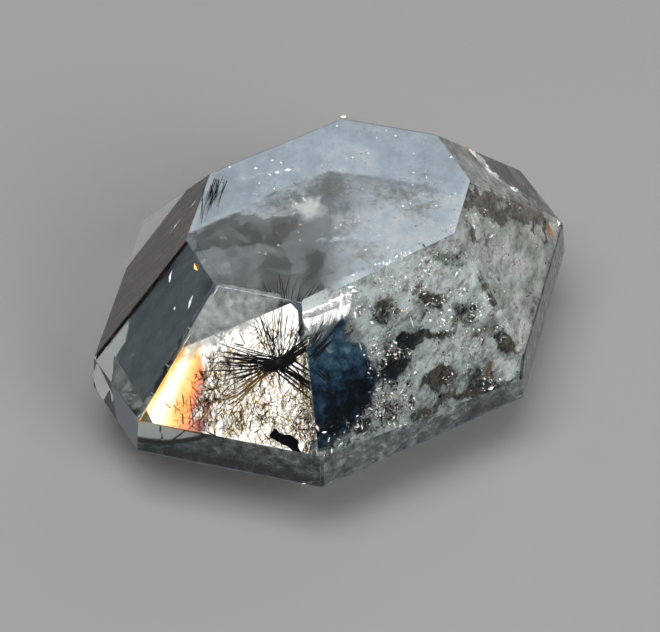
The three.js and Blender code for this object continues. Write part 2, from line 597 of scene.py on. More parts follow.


# Films: healed cracks, each behind one facet, partly pale with bubbles too fine to see and partly dark with
# mineral; a few are painted light or shade instead, as marked below. Places on a film are (across, up) in
# millimetres from the facet's middle line and the girdle.
# wave is how far the film bends, cells how many faces it has, and clearOf a facet it isn't seen through.
# Three patterns make it: pale and dark say how much film there is, and shade how light its colour is.
# even and evenDark lay pale and dark film all over, and cloud lets the shade drift in broad clouds.
# pale and dark list soft round spots (across, up, radius, strength). paleAbove and darkAbove give a line of
# places, with the softness and strength of what lies above it. Areas are (strengths, softness, outline) and
# lines are (strengths, half width, places). warp makes spots, areas and lines ragged by as many millimetres,
# and turn lays the material's streaks at that many degrees.
girdleBand = {"up": (-1.7, 0.3), "depth": 0.12, "wave": 0.02, "cells": (160, 50), "look": "girdleFilm"}
films = [
    {"name": "table_veil", "facet": "table", "across": (-4.6, 5.2), "up": (-4.2, 5.6), "depth": 0.15,
     "wave": 0.03, "cells": (150, 150), "look": "bubbleVeil", "even": 0.14, "warp": 0.15,
     "pale": [(2.2, -1.2, 1.9, 0.6), (3.2, -0.6, 1.6, 0.6), (1.5, 0.6, 1.6, 0.5), (1, -2.2, 1, 0.5),
              (0.6, -0.9, 0.9, 0.35)],
     "dark": [(-0.1, 1.05, 0.45, 0.35), (0.1, 0.4, 0.6, 0.3), (1.3, 0.8, 0.6, 0.3), (2.2, 0.55, 0.7, 0.2),
              (2.1, 0.05, 0.6, 0.2), (0.1, -0.7, 0.6, 0.25), (0.9, -1.5, 0.5, 0.35), (1.2, -2.2, 0.4, 0.3),
              (2.3, -1.4, 0.3, 0.3)],
     # the veil is the stone's own haze, but its paler, denser part above this line is painted light: the line
     # is the base's edge seen through the table, and above it the lit floor shows
     "paleAbove": ([(-3.6, -0.77), (-2.33, 0.06), (-1.57, 0.67), (-0.8, 1.1), (-0.12, 1.46), (1.18, 1.28),
                    (2.61, 0.92), (3.24, 0.49)], 0.08, 0.95),
     "areas": [
         # the olive band under the line, and the white fluff at its right end
         ({"pale": 0.55}, 0.15, [(-2.5, -0.05), (-1.57, 0.6), (-0.8, 1.05), (-0.1, 1.4), (0.3, 0.9),
          (-0.6, 0.1), (-1.4, -0.1)]),
         ({"dark": 0.42}, 0.3, [(-2.3, 0), (-1.57, 0.5), (-0.8, 0.95), (-0.1, 1.35), (0.5, 0.8),
          (-0.2, 0.3), (-1.3, 0.05)]),
         ({"pale": 0.6, "shade": 0.3, "dark": -0.6}, 0.3, [(-0.95, 0.3), (-0.4, 0.4), (-0.3, -0.1),
          (-0.75, -0.35)]),
         ({"shade": 0.16}, 0.6, [(-1.2, 2.6), (0.5, 2.7), (1.6, 1.7), (0.2, 1.6)]),
         # thick beside the right edges
         ({"pale": 0.5}, 0.8, [(1.6, -2), (2, 0.4), (3.2, 1), (4.6, -0.6), (3.2, -2.6)]),
         # the part above the line is a little greyer
         ({"shade": -0.2}, 0.12, [(-3.4, -0.6), (-3, 1.5), (0.2, 3.6), (-0.12, 1.5)]),
         ({"shade": -0.2}, 0.12, [(-0.12, 1.5), (0.2, 3.6), (2.7, 2.9), (3.4, 1.2), (3.2, 0.45)]),
         # clearer under the line's left part, and over the star's needles
         ({"pale": -0.25}, 0.1, [(-3.5, -1), (-2.89, -0.36), (-1.2, -0.36), (-1.2, -1.1), (-3.3, -1.3)]),
         ({"pale": -0.3}, 0.4, [(-2.4, -1.7), (-0.4, -1.7), (-0.4, -3.4), (-2.4, -3.4)]),
     ],
     "lines": [
         ({"pale": 1.2}, 0.3, [(0.6, -2.6), (2.96, -0.7), (3.35, 1.2), (2.58, 2.85), (0.24, 3.4)]),
         ({"pale": 1}, 0.12, [(-3, 1.35), (-3.3, 0.3)]),
         ({"shade": 0.12}, 0.2, [(-0.3, 1.55), (0.6, 1.5), (1.4, 1.35), (2.4, 1.05), (3.1, 0.6)]),
         ({"pale": 0.5}, 0.06, [(-2.4, -0.08), (-1.6, -0.15), (-0.9, -0.1)]),
         ({"pale": 0.5}, 0.07, [(-0.3, -1.05), (0.2, -0.95), (0.8, -0.85)]),
         ({"shade": 0.25}, 0.05, [(-2.3, 1.2), (-1.7, 1.4), (-1.1, 1.5), (-0.8, 1.5)]),
     ]},
    {"name": "front_right_crack", "facet": "frontRight", "across": (-3.6, 3.6), "up": (-3.5, 1.3),
     "depth": 0.3, "wave": 0.05, "cells": (150, 100), "look": "mineralFilm", "even": 0.85, "evenDark": 0.02,
     "turn": 28, "warp": 0.11, "cloud": 0.12,
     "pale": [(-1.05, -0.25, 0.7, 0.2), (0.3, 0.3, 0.9, 0.2)],
     "dark": [(-0.37, -0.1, 0.35, 0.35), (0.45, -2.2, 0.45, 0.5), (1.6, -2.9, 0.5, 0.5),
              (-0.3, -2.9, 0.6, 0.35), (0.8, -2.6, 0.6, 0.35), (0.1, 0.45, 0.4, 0.25), (1.9, -1.6, 0.4, 0.3),
              (-0.9, 0.35, 0.25, 0.4)],
     "areas": [
         # clear where the star's needles and the blue patch show
         ({"pale": -1.2}, 0.2, [(-3.3, 0.22), (-1.36, 0.2), (-1.3, -0.5), (-1.3, -1.4), (-1.66, -2.05),
          (-2.5, -2.35), (-4, -2.5)]),
         # the white streaked wedge at the top, painted white as a reflection of the window
         ({"dark": -0.5, "shade": 0.9, "pale": 0.8}, 0.08, [(-2.45, 1.1), (-1.07, 0.92), (-1.45, 0.2),
          (-2.6, 0.24)]),
         # the long black crack and what lies under it
         ({"dark": 1}, 0.1, [(-0.38, -1.04), (-0.16, -0.8), (0.26, -0.91), (0.24, -1.2), (-0.06, -1.35)]),
         ({"dark": 0.85}, 0.25, [(-1.35, -1.5), (-0.71, -1.09), (-0.11, -1.15), (-0.39, -1.7),
          (-0.95, -1.9)]),
         ({"shade": -0.16}, 0.3, [(-1.45, -1.5), (-0.71, -0.8), (0.3, -0.8), (0.1, -1.5), (-0.95, -1.95)]),
         ({"dark": 0.75}, 0.08, [(0.6, -0.05), (0.9, -0.15), (1.23, -0.49), (1.05, -0.72), (0.78, -0.46)]),
         # grey and brown triangles
         ({"dark": 0.3, "shade": -0.2}, 0.1, [(1.32, -0.51), (2.21, -0.98), (1.48, -1.49)]),
         ({"shade": -0.25, "dark": 0.2}, 0.1, [(0.95, 0.67), (1.9, 0.6), (2.19, -0.03)]),
         ({"dark": 0.75}, 0.08, [(2.29, -0.32), (2.8, -0.75), (2.46, -1.2)]),
         ({"dark": 0.72}, 0.1, [(2.1, -1.93), (2.55, -1.88), (2.73, -2.6), (2.31, -2.41)]),
         ({"dark": 0.65}, 0.15, [(1.05, -3.09), (1.38, -2.9), (1.81, -3.15), (1.5, -3.4)]),
         ({"dark": 0.55}, 0.2, [(-0.26, -2.29), (0.05, -1.98), (0.42, -2.12), (0.21, -2.49)]),
         ({"dark": 0.9}, 0.15, [(-2.65, -2.45), (-2.33, -2.22), (-1.73, -2.42), (-1.89, -2.68)]),
         ({"dark": 0.5}, 0.2, [(-1, -0.13), (-0.44, 0.35), (-0.03, 0.14), (-0.45, -0.45)]),
         # smooth light places
         ({"shade": 0.22, "dark": -0.5}, 0.1, [(0.1, -1.95), (0.5, -1.46), (1.53, -1.75), (0.79, -2.05)]),
         ({"shade": 0.3}, 0.08, [(1.86, -2.38), (2.71, -2.87), (1.9, -3.2), (1.48, -2.72)]),
         ({"shade": 0.3}, 0.3, [(-1.66, -2.07), (-1.29, -1.76), (-0.53, -1.95), (-0.55, -2.61)]),
         ({"shade": 0.1}, 0.1, [(0.9, -0.05), (2.2, -0.15), (2.2, -0.85), (1.4, -0.45)]),
         ({"shade": 0.13}, 0.6, [(0.2, 1.1), (3.2, 1.1), (3.2, -3), (1.2, -1.6)]),
         ({"shade": 0.2}, 0.9, [(-1.3, 1.2), (1.4, 1.2), (0.8, 0.3), (-0.9, -0.4)]),
         ({"shade": 0.05}, 1.5, [(-1.3, 1.2), (3.2, 1.2), (3.2, -3.4), (-1.3, -3.4)]),
         ({"dark": -0.15}, 0.6, [(-1.3, 1.2), (1.4, 1.2), (0.8, 0.3), (-0.9, 0.2)]),
     ],
     "lines": [
         ({"dark": 1}, 0.09, [(-0.45, -1.35), (-0.25, -0.95), (0.26, -1.02), (0.84, -1.3), (1.1, -1.4)]),
         ({"dark": 0.6}, 0.06, [(0.2, -2.7), (0.9, -3), (1.5, -3.3)]),
         ({"dark": 0.7}, 0.05, [(-1.75, -0.45), (-1.36, -0.9), (-1.3, -1.5)]),
         ({"shade": 0.4}, 0.04, [(1.5, -1.2), (1.1, -1.6), (0.9, -2)]),
         ({"shade": 0.35}, 0.04, [(-0.9, 0.7), (-0.3, 0.3), (0.1, -0.4)]),
     ]},
    {"name": "blue_black_patch", "facet": "frontRight", "across": (-3.6, -0.8), "up": (-3, 0.6),
     "depth": 0.15, "wave": 0.02, "cells": (120, 120), "look": "blueFilm", "even": 0, "warp": 0.1,
     "areas": [
         ({"dark": 0.85}, 0.35, [(-3.2, -0.2), (-1.7, -0.27), (-1.31, -0.66), (-1.28, -1.4), (-1.66, -2.05),
          (-2.5, -2.4), (-4, -2.6)]),
         # a dark zone above the patch, which the star's needles cross
         ({"dark": 0.75, "shade": 0.08}, 0.15, [(-3.3, 0.17), (-1.75, 0.22), (-1.5, 0.3), (-1.75, -0.2),
          (-3.3, -0.5)]),
         ({"shade": 0.13}, 0.5, [(-2.6, -0.1), (-1.6, -0.2), (-1.4, -0.9), (-2.8, -0.9)]),
         ({"shade": -0.14}, 0.5, [(-3.2, -1.6), (-1.9, -1.3), (-1.2, -1.2), (-1.7, -2.4), (-3.2, -2.5)]),
     ],
     "lines": [
         ({"shade": 0.3}, 0.03, [(-2.3, -0.25), (-2.2, -0.4)]),
     ]},
    {"name": "right_crack", "facet": "right", "across": (-3.2, 4.2), "up": (-3.5, 1.6), "depth": 0.3,
     "wave": 0.05, "cells": (150, 100), "look": "cloudyMineralFilm", "even": 0.9, "turn": -11, "warp": 0.2,
     "cloud": 0.1,
     "dark": [(-0.6, -0.9, 0.3, 0.4), (-0.9, -1.4, 0.3, 0.4), (0.6, 0, 0.25, 0.6)],
     "areas": [
         # the brown mottled band along the upper edge
         ({"dark": 0.58, "shade": 0.06}, 0.15, [(0.95, 0.75), (1.3, 0.9), (2.6, -0.6), (3.6, -2),
          (3.2, -2.5), (2.23, -1.69), (1.75, -0.8), (1.13, -0.13)]),
         # pale corners
         ({"shade": 0.5, "dark": -1}, 0.08, [(3.54, -2.65), (3.87, -3), (3, -3.2)]),
         ({"shade": 0.5}, 0.1, [(0.95, 0.25), (1.1, -0.1), (0.6, -0.15)]),
         ({"shade": 0.05}, 0.2, [(-0.2, -0.6), (1.4, -1.2), (1.8, -2.6), (-0.2, -2.6)]),
         ({"shade": 0.3}, 0.08, [(0.15, -2.6), (0.15, -3.1), (-0.89, -3.15), (-0.77, -2.66)]),
     ],
     "lines": [
         ({"dark": 1}, 0.05, [(2.62, -1), (2.96, -1.87), (3.04, -2.12), (2.62, -2.2)]),
         ({"dark": 0.9}, 0.08, [(3.42, -2.39), (2.85, -2.72)]),
     ]},
    {"name": "back_right_crack", "facet": "backRight", "across": (-3.4, 3.2), "up": (-5.2, 1.6),
     "depth": 0.25, "wave": 0.04, "cells": (120, 120), "look": "cloudyMineralFilm", "even": 0.75, "turn": -20,
     "warp": 0.2, "cloud": 0.1,
     "areas": [
         ({"dark": 0.85}, 0.25, [(1.6, -2.3), (2.3, -3.3), (2.2, -4.6), (1.2, -4.7), (0.95, -3.9),
          (1, -2.5)]),
         ({"dark": 0.5}, 0.3, [(1, -2.3), (1.2, -4), (0.5, -4.2), (0.7, -2.8)]),
         ({"shade": 0.15}, 0.3, [(1.3, -1.2), (0.7, -2.6), (0.4, -3.7), (-0.2, -2), (0.5, -1)]),
         ({"shade": -0.18}, 1, [(-3, 1.5), (3, 1.5), (3, -5), (-3, -5)]),
     ],
     "lines": [
         ({"dark": 0.9}, 0.06, [(0.6, -3.6), (0.2, -3.4), (-0.1, -3.3)]),
     ]},
    # painted shade: the left facet's black, which comes from the dark surroundings it shows, is a dark film
    # above this line
    {"name": "left_painted_shade", "facet": "left", "across": (-3.6, 3.8), "up": (-3.6, 1.8), "depth": 0.25,
     "wave": 0.05, "cells": (120, 100), "look": "paintedShadeFilm", "even": 1.15,
     "darkAbove": ([(-1.8, 0.5), (-1.14, -0.87), (-0.05, -3.15), (0.4, -4.2)], 0.25, 0.92)},
    {"name": "left_front_haze", "facet": "leftFront", "across": (-3.4, 3.4), "up": (-3.8, 1.4), "depth": 0.4,
     "wave": 0.05, "cells": (90, 80), "look": "smokyVeil", "even": 0.8, "clearOf": "frontLeft",
     "dark": [(-0.9, -1.3, 0.6, 0.7), (0.9, -0.4, 0.5, 0.6)],
     "areas": [
         # painted light: a white triangle at the lower left corner, where light from the room shows through
         # the facet
         ({"shade": 0.9, "pale": 0.5}, 0.1, [(-0.9, -2.6), (-0.3, -3.3), (-0.2, -4.2), (-1.9, -3.6)]),
     ]},
    # painted light: a pale patch over the lighter region that refraction outlines at the facet's top left
    {"name": "front_left_painted_light", "facet": "frontLeft", "across": (-3.8, 0.4), "up": (-2.2, 1),
     "depth": 0.3, "wave": 0.02, "cells": (110, 90), "look": "paintedLightVeil", "even": 0, "warp": 0.25,
     "areas": [
         ({"pale": 0.95}, 0.8, [(-2.55, -1.3), (-2.5, -0.2), (-1.4, 0.45), (-0.75, 0.35), (-1.05, -0.15),
          (-1.4, -0.5), (-1.86, -0.85)]),
     ]},
    {"name": "black_spot", "facet": "frontLeft", "across": (-0.5, 1), "up": (-3.6, -2.7), "depth": 0.3,
     "wave": 0.02, "cells": (60, 40), "look": "blackFilm", "even": 0, "warp": 0.08,
     "lines": [
         ({"dark": 1}, 0.14, [(-0.05, -3.02), (0.2, -3.06), (0.5, -3.16)]),
         ({"dark": 1}, 0.08, [(0.2, -3.2), (0.5, -3.3), (0.62, -3.3)]),
     ]},
    {"name": "front_left_band", "facet": "frontLeftBand", "across": (-4, 3), **girdleBand,
     "even": 0.85,
     "areas": [
         ({"shade": -0.18}, 0.3, [(-2.2, -0.4), (3, -0.4), (3, -1.7), (-3.6, -1.7), (-3.6, -1.1)]),
         ({"shade": 0.6, "pale": 0.5}, 0.1, [(-3.6, -0.3), (-1.7, -0.1), (-1.9, -0.55), (-2.3, -0.72),
          (-2.9, -0.92), (-3.6, -1)]),
     ],
     "lines": [
         ({"dark": 1}, 0.07, [(-3.6, -1.12), (-2.9, -1.06), (-2.1, -0.72), (-1.7, -0.45)]),
         ({"dark": 1}, 0.12, [(0.1, -0.16), (0.35, -0.18), (0.62, -0.28)]),
         ({"dark": 0.9}, 0.025, [(-3, -0.3), (-2.9, -0.9)]),
         ({"dark": 0.9}, 0.025, [(-2.6, -0.85), (-2.2, -0.35)]),
         ({"dark": 0.45}, 0.3, [(-3.4, -1.5), (-2, -1.3), (0, -1.3), (1.8, -1.5)]),
     ]},
    {"name": "front_right_band", "facet": "frontRightBand", "across": (-4, 4), **girdleBand,
     "even": 0.75,
     "dark": [(0.2, -1.1, 0.3, 0.4), (1.2, -1.2, 0.5, 0.45), (2, -1.2, 0.5, 0.4), (-1.6, -0.5, 0.5, 0.3)],
     "areas": [
         ({"shade": -0.04}, 0.5, [(-4, 0.3), (4, 0.3), (4, -1.6), (-4, -1.6)]),
     ]},
    {"name": "right_band", "facet": "rightBand", "across": (-4.6, 4.6), **girdleBand,
     "even": 0.9, "evenDark": 0.35},
]

# What each kind of film is. Pairs are for the pale film and the dark film. The first two lists give their
# colours from low to high tone. perMm is how many patches of grain lie on one millimetre along the streaks,
# across them and in depth. shards says the same of the angular pieces that a crack is broken into, then how
# much these differ in tone and how much they break up the dark film's edge. ragged is how far the grain eats
# into an edge, softness how softly the edge fades, and strength how much of what lies behind a film hides.
filmLooks = {
    # bubbles too fine to see: a milky, bluish white veil in soft clouds of about 0.8 mm
    "bubbleVeil": {
        "slot": "quartz",
        "pale": [(0.25, "c8d4de"), (0.5, "e0ebf4"), (0.8, "ffffff")],
        "dark": [(0.35, "5c5c50"), (0.65, "8c8c80")],
        "perMm": ((1.3, 1.3, 1.3), (7, 7, 7)), "shards": ((2.5, 2.5, 2.5), 0.12, 0.3),
        "ragged": 1.1, "softness": (1.1, 0.4), "strength": (0.97, 0.7)},
    # painted light: a thin pale grey veil in wisps of 0.3 mm
    "paintedLightVeil": {
        "slot": "quartz",
        "pale": [(0.3, "a8b0ae"), (0.5, "c8d0ce"), (0.7, "f4f8f6")],
        "dark": [(0.3, "040303"), (0.7, "0a0808")],
        "perMm": ((3, 3, 3), (1.4, 1.4, 1.4)), "shards": ((4, 4, 4), 0.2, 0),
        "ragged": 1.0, "softness": (0.8, 0.1), "strength": (0.88, 1)},
    # a smoky haze of bubbles, which turns the window's light to a dim grey blue; its near white top tone is
    # painted light
    "smokyVeil": {
        "slot": "quartz",
        "pale": [(0.3, "6c787e"), (0.7, "88949a"), (0.95, "f4fcf8")],
        "dark": [(0.3, "14181c"), (0.7, "282e34")],
        "perMm": ((1.6, 0.8, 1), (2.4, 1.6, 1)), "shards": ((2, 1, 1), 0.1, 0),
        "ragged": 0.7, "softness": (0.8, 0.7), "strength": (0.9, 0.8)},
    # one splash of solid hollandite: black, with a sharp torn edge
    "blackFilm": {
        "slot": "hollandite",
        "pale": [(0.3, "c8d2c8"), (0.7, "e8eee6")],
        "dark": [(0.3, "040303"), (0.7, "0a0808")],
        "perMm": ((5, 5, 5), (5, 5, 5)), "shards": ((5, 5, 5), 0, 0),
        "ragged": 0.8, "softness": (0.4, 0.1), "strength": (0.8, 1)},
    # painted shade for the left facet's dark: black with brown streaks of 0.3 by 1.4 mm drawn out down the
    # slope, and white beside it
    "paintedShadeFilm": {
        "slot": "hollandite",
        "pale": [(0.32, "4c4a46"), (0.4, "b8c4be"), (0.48, "ffffff")],
        "dark": [(0.42, "040202"), (0.56, "1c0e08"), (0.68, "6a3c28")],
        "perMm": ((3.0, 0.7, 1), (3.0, 0.7, 1)), "shards": ((5, 1, 1), 0.3, 0),
        "ragged": 0.5, "softness": (0.4, 0.3), "strength": (0.97, 1)},
    # a very thin mineral film: black that turns to deep blue and steel blue in spots of 0.5 mm
    "blueFilm": {
        "slot": "hollandite",
        "pale": [(0.3, "6a757a"), (0.7, "7c888c")],
        "dark": [(0.3, "020306"), (0.44, "0c1826"), (0.56, "2c4c68"), (0.68, "54788e"), (0.85, "a0bcc8")],
        "perMm": ((2, 2, 2), (2, 2, 2)), "shards": ((3, 3, 3), 0.1, 0.2),
        "ragged": 0.7, "softness": (0.5, 0.4), "strength": (0, 0.97)},
    # mineral dust along the girdle: grey green spots of 0.4 mm with dark flecks
    "girdleFilm": {
        "slot": "hollandite",
        "pale": [(0.3, "30383a"), (0.5, "707c7c"), (0.62, "909a98"), (0.85, "e4ecec")],
        "dark": [(0.4, "060708"), (0.6, "1c1814")],
        "perMm": ((2.5, 2.5, 2.5), (4, 4, 4)), "shards": ((3, 5, 3), 0.3, 0.3),
        "ragged": 0.9, "softness": (0.9, 0.4), "strength": (0.9, 0.9)},
    # bubbles and mineral mixed: pale grey clouds of 0.4 to 0.8 mm with brown specks of 0.2 mm
    "cloudyMineralFilm": {
        "slot": "hollandite",
        "pale": [(0.2, "504a3c"), (0.34, "84867a"), (0.46, "b0b4ac"), (0.58, "d0d6d0"), (0.72, "f4f8f6"),
                 (0.8, "ffffff")],
        "dark": [(0.3, "0c0a08"), (0.5, "2c2822"), (0.62, "544c40"), (0.75, "8c8070")],
        "perMm": ((1.3, 2.4, 2), (5, 6, 6)), "shards": ((1.2, 2.6, 2), 0.22, 0.5),
        "ragged": 1.6, "softness": (1.1, 0.4), "strength": (0.92, 0.9)},
    # a shattered crack: bright grey green pieces of 0.2 by 0.5 mm, with blue black and brown mineral between
    "mineralFilm": {
        "slot": "hollandite",
        "pale": [(0.16, "58503e"), (0.3, "74786a"), (0.42, "a0aa9e"), (0.54, "bfccc4"), (0.68, "e4f2ee"),
                 (0.8, "f8ffff")],
        "dark": [(0.38, "04060c"), (0.5, "0a121e"), (0.6, "1c2426"), (0.7, "44443c"), (0.88, "7a6c58")],
        "perMm": ((2.2, 3, 2.2), (5, 7, 6)), "shards": ((1.9, 4.6, 3), 0.42, 0.6),
        "ragged": 1.8, "softness": (1.3, 0.6), "strength": (0.94, 0.97)},
}
# what all films share: grain and cracks at every size, and how much of the scattered light goes on through
filmGrain = {
    "edge": {"Scale": 1, "Detail": 8, "Roughness": 0.68, "Distortion": 0.5},
    "tone": {"Scale": 1.4, "Detail": 8, "Roughness": 0.7},
    "shards": {"Scale": 1, "Detail": 2, "Roughness": 0.6},
    "darkShift": (7, 3),  # lays the dark film's grain elsewhere than the pale one's
    "darkTone": 0.5,  # the dark film's tone differs half as much from piece to piece
    "passedOn": 0.35,
}
# lumps of this many millimetres make edges ragged and colours cloudy, each from its own part of the pattern
filmLumps = {"warp": 0.3, "warpShifts": (3, 9), "cloud": 0.9, "cloudShift": 5}
mostPale = 1.5


def calculate(tree, operation, *values):
    return addNode(tree, "ShaderNodeMath", dict(enumerate(values)), operation=operation).outputs[0]


def mixColours(tree, share, first, second):
    return addNode(tree, "ShaderNodeMix", {"Factor": share, 6: first, 7: second}, data_type="RGBA").outputs[2]


def mixShaders(tree, share, first, second):
    return addNode(tree, "ShaderNodeMixShader", {0: share, 1: first, 2: second}).outputs[0]


def filmMaterial(name, look):
    material = bpy.data.materials.new(name)
    material.use_nodes = True
    tree = material.node_tree
    tree.nodes.clear()
    place = readAttribute(tree, "place", "Vector")
    perMm, toneBreaks, edgeBreaks = look["shards"]
    broken = addNode(tree, "ShaderNodeMapping", {"Vector": place, "Scale": perMm})
    shard = addNode(tree, "ShaderNodeTexVoronoi", {"Vector": broken.outputs[0], **filmGrain["shards"]})
    uneven = calculate(tree, "SUBTRACT", shard.outputs["Color"], 0.5)
    middle = 0.5 + look["ragged"] / 2
    shares, tones = [], []
    for i, part in enumerate(("pale", "dark")):
        shift = (filmGrain["darkShift"][0] * i, filmGrain["darkShift"][1] * i, 0)
        spread = addNode(tree, "ShaderNodeMapping", {"Vector": place, "Scale": look["perMm"][i]})
        moved = addNode(tree, "ShaderNodeVectorMath", {0: spread.outputs[0], 1: shift}, operation="ADD")
        grain = addNode(tree, "ShaderNodeTexNoise", {"Vector": moved.outputs[0], **filmGrain["edge"]})
        cover = readAttribute(tree, part)
        level = calculate(tree, "MULTIPLY_ADD", grain.outputs["Fac"], look["ragged"], cover)
        share = addNode(tree, "ShaderNodeMapRange", {
            "Value": calculate(tree, "MULTIPLY_ADD", uneven, edgeBreaks * i, level),
            "From Min": middle - look["softness"][i] / 2, "From Max": middle + look["softness"][i] / 2,
            "To Max": look["strength"][i]})
        tone = addNode(tree, "ShaderNodeTexNoise", {"Vector": moved.outputs[0], **filmGrain["tone"]})
        toned = calculate(tree, "ADD", tone.outputs["Fac"], readAttribute(tree, "shade"))
        varied = calculate(tree, "MULTIPLY_ADD", uneven, toneBreaks * (1 - filmGrain["darkTone"] * i), toned)
        ramp = addNode(tree, "ShaderNodeValToRGB", {"Fac": varied}, look[part])
        shares.append(share.outputs[0])
        tones.append(ramp.outputs["Color"])
    colour = mixColours(tree, shares[1], *tones)
    clear = addNode(tree, "ShaderNodeBsdfTransparent").outputs[0]
    front = addNode(tree, "ShaderNodeBsdfDiffuse", {"Color": colour}).outputs[0]
    back = addNode(tree, "ShaderNodeBsdfTranslucent", {"Color": colour}).outputs[0]
    milky = mixShaders(tree, filmGrain["passedOn"], front, back)
    mixed = mixShaders(tree, calculate(tree, "MAXIMUM", *shares), clear, milky)
    addNode(tree, "ShaderNodeOutputMaterial", {"Surface": mixed})
    return material


def makeFilm(row):
    where = facetFrame(row["facet"])
    sheet = makeSheet(where, row)
    straight = placeAttribute(sheet, where, row.get("turn", 0))
    points = meshPoints(sheet)
    across, rise = straight
    if "warp" in row:
        across, rise = (value + row["warp"] * mottle(points, filmLumps["warp"], shift)
                        for value, shift in zip(straight, filmLumps["warpShifts"]))
    cover = {
        "pale": row["even"] + blobs(across, rise, row.get("pale", [])),
        "dark": row.get("evenDark", 0) + blobs(across, rise, row.get("dark", [])),
        "shade": row.get("cloud", 0) * mottle(points, filmLumps["cloud"], filmLumps["cloudShift"]),
    }
    for kind in ("pale", "dark"):
        if kind + "Above" in row:
            cover[kind] += above(*straight, *row[kind + "Above"])
    for strengths, softness, outline in row.get("areas", []):
        for kind, strength in strengths.items():
            cover[kind] += strength * inOutline(across, rise, softness, outline)
    for strengths, halfWidth, places in row.get("lines", []):
        for kind, strength in strengths.items():
            cover[kind] += strength * nearLine(across, rise, halfWidth, places)
    if "clearOf" in row:
        clear = seenThrough(facetFrame(row["clearOf"]), points)
        cover["pale"][clear] = 0
        cover["dark"][clear] = 0
    setAttribute(sheet, "pale", np.clip(cover["pale"], 0, mostPale))
    setAttribute(sheet, "dark", np.clip(cover["dark"], 0, 1))
    setAttribute(sheet, "shade", cover["shade"])
    return sheet


# Fan: an iron-stained film under the front left facet, in rays from the table's corner
fan = {
    "facet": "frontLeft",
    "across": (-4.2, -0.9),
    "up": (-3.6, 0.2),
    "depth": 0.05,
    "wave": 0,
    "cells": (120, 120),
    "margin": 0.03,
    "apex": (-2.0, 0.27),
    "lean": (0.42, -0.2),  # of its left and right side, in millimetres sideways for each one down
    # places up the facet and across the fan's sweep, each with how softly the fan fades there
    "top": (-0.95, 0.5),
    "rightEnd": (0.95, 0.3),
    "tallPart": (0.5, 0.1),  # right of this the fan is lower
    "lowerTop": (-1.15, 0.4),
    "patches": (0.35, 0.45, 5),  # how ragged it is, the size of a patch, and the pattern's shift
    "rays": (6, 1.6, 1),  # streaks per millimetre across, up and in depth
    "unevenRays": 0.24,
    "colours": [(0, "f0b060"), (0.04, "ffdc90"), (0.08, "fff6d0"), (0.16, "fffff4"), (0.24, "fff8d4"),
                (0.28, "ffeabc"), (0.33, "ffd498"), (0.41, "ffbc74"), (0.5, "f8a868"), (0.58, "d88c70"),
                (0.68, "a06c68"), (0.82, "ac8c8c"), (0.98, "e8dcd8")],
}


def fanSweep(across, rise):
    # 0 at the fan's left side and 1 at its right, with the least height below the apex to divide by
    lean = (fan["apex"][0] - across) / np.maximum(fan["apex"][1] - rise, 0.01)
    return (fan["lean"][0] - lean) / (fan["lean"][0] - fan["lean"][1])


def fadeTo(end, place):
    # from 1 well below the end to 0 at it
    return (end[0] - place) / end[1]


def makeFan():
    where = facetFrame(fan["facet"])
    sheet = makeSheet(where, fan)
    across, rise = placeAttribute(sheet, where)
    sweep = fanSweep(across, rise)
    ragged, size, shift = fan["patches"]
    patchy = ragged * mottle(meshPoints(sheet), size, shift)
    fade = np.clip(fadeTo(fan["top"], rise), 0, 1) * np.clip(fadeTo(fan["rightEnd"], sweep - patchy), 0, 1)
    fade *= np.clip(fadeTo(fan["tallPart"], sweep) + fadeTo(fan["lowerTop"], rise - patchy), 0, 1)
    setAttribute(sheet, "sweep", sweep)
    setAttribute(sheet, "fade", fade)
    return sheet


def fanMaterial():
    # iron stain in the crystal: it reflects nothing itself, but colours the light that comes through,
    # white, yellow, orange and dusky red from ray to ray
    material, tree, shader = newMaterial("ironStainedFilm", {"Transmission Weight": 1, "IOR": 1,
                                                             "Roughness": 0})
    place, sweep, fade = (readAttribute(tree, *row) for row in (("place", "Vector"), ("sweep",), ("fade",)))
    spread = addNode(tree, "ShaderNodeMapping", {"Vector": place, "Scale": fan["rays"]})
    grain = addNode(tree, "ShaderNodeTexNoise", {"Vector": spread.outputs[0], "Scale": 1, "Detail": 4})
    moved = calculate(tree, "MULTIPLY_ADD", grain.outputs["Fac"], fan["unevenRays"], sweep)
    settled = calculate(tree, "SUBTRACT", moved, fan["unevenRays"] / 2)
    ramp = addNode(tree, "ShaderNodeValToRGB", {"Fac": settled}, fan["colours"])
    colour = mixColours(tree, fade, (1, 1, 1, 1), ramp.outputs["Color"])
    tree.links.new(colour, shader.inputs["Base Color"])
    return material


# Fibres: short pale fibres that lie thick behind the star and fill the front left of the stone
fibres = {
    "seed": 11,
    "facet": "frontLeft",
    "notThrough": ["table", "leftFront"],  # the facets through which none of them show
    "count": 11500,
    "across": (-3.5, 1.6),
    "up": (-3.9, 0.5),
    "depth": (1.5, 2.6),
    "margin": 0.45,
    "length": (0.08, 0.4),
    "width": (0.015, 0.045),
    "flatness": 0.5,
    "patch": 0.8,
    "patchEdge": (-0.6, 0.25),
    # fewer of them lie behind the fan's bright rays, and fewer high up: where that starts, and the share left
    "behindFan": (0.62, 0.3),
    "highUp": (-1.5, 0.45),
    "lean": 0.7,
    "stray": 0.15,
}


